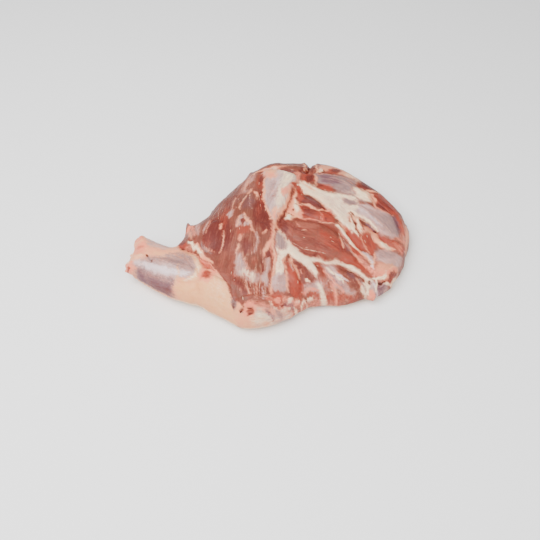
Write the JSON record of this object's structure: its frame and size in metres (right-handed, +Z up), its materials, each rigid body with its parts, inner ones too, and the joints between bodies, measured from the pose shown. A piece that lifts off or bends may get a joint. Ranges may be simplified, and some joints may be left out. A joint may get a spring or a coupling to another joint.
{
  "type": "raw bone-in lamb shoulder roast",
  "caption": "Raw lamb shoulder joint, banjo cut: a round blade end of red muscle, fat and silverskin with its foreshank and knuckle bone left on as a handle, lying rib side up",
  "frame": {"origin": "On the resting face, at the middle of the part's box in plan", "axes": "+X from the shank's knuckle to the blade edge, +Y away from the elbow, +Z up through the rib side"},
  "size_m": [0.3518, 0.2539, 0.0617],
  "materials": {
    "raw_lamb": "raw muscle, cream fat and grey-lilac silverskin, moist and softly glossy",
    "cartilage": "cream cartilage with pink ends, moist"
  },
  "bodies": {
    "root": {"shoulder_meat": "raw_lamb", "shank_bone": "cartilage"}
  },
  "joints": []
}
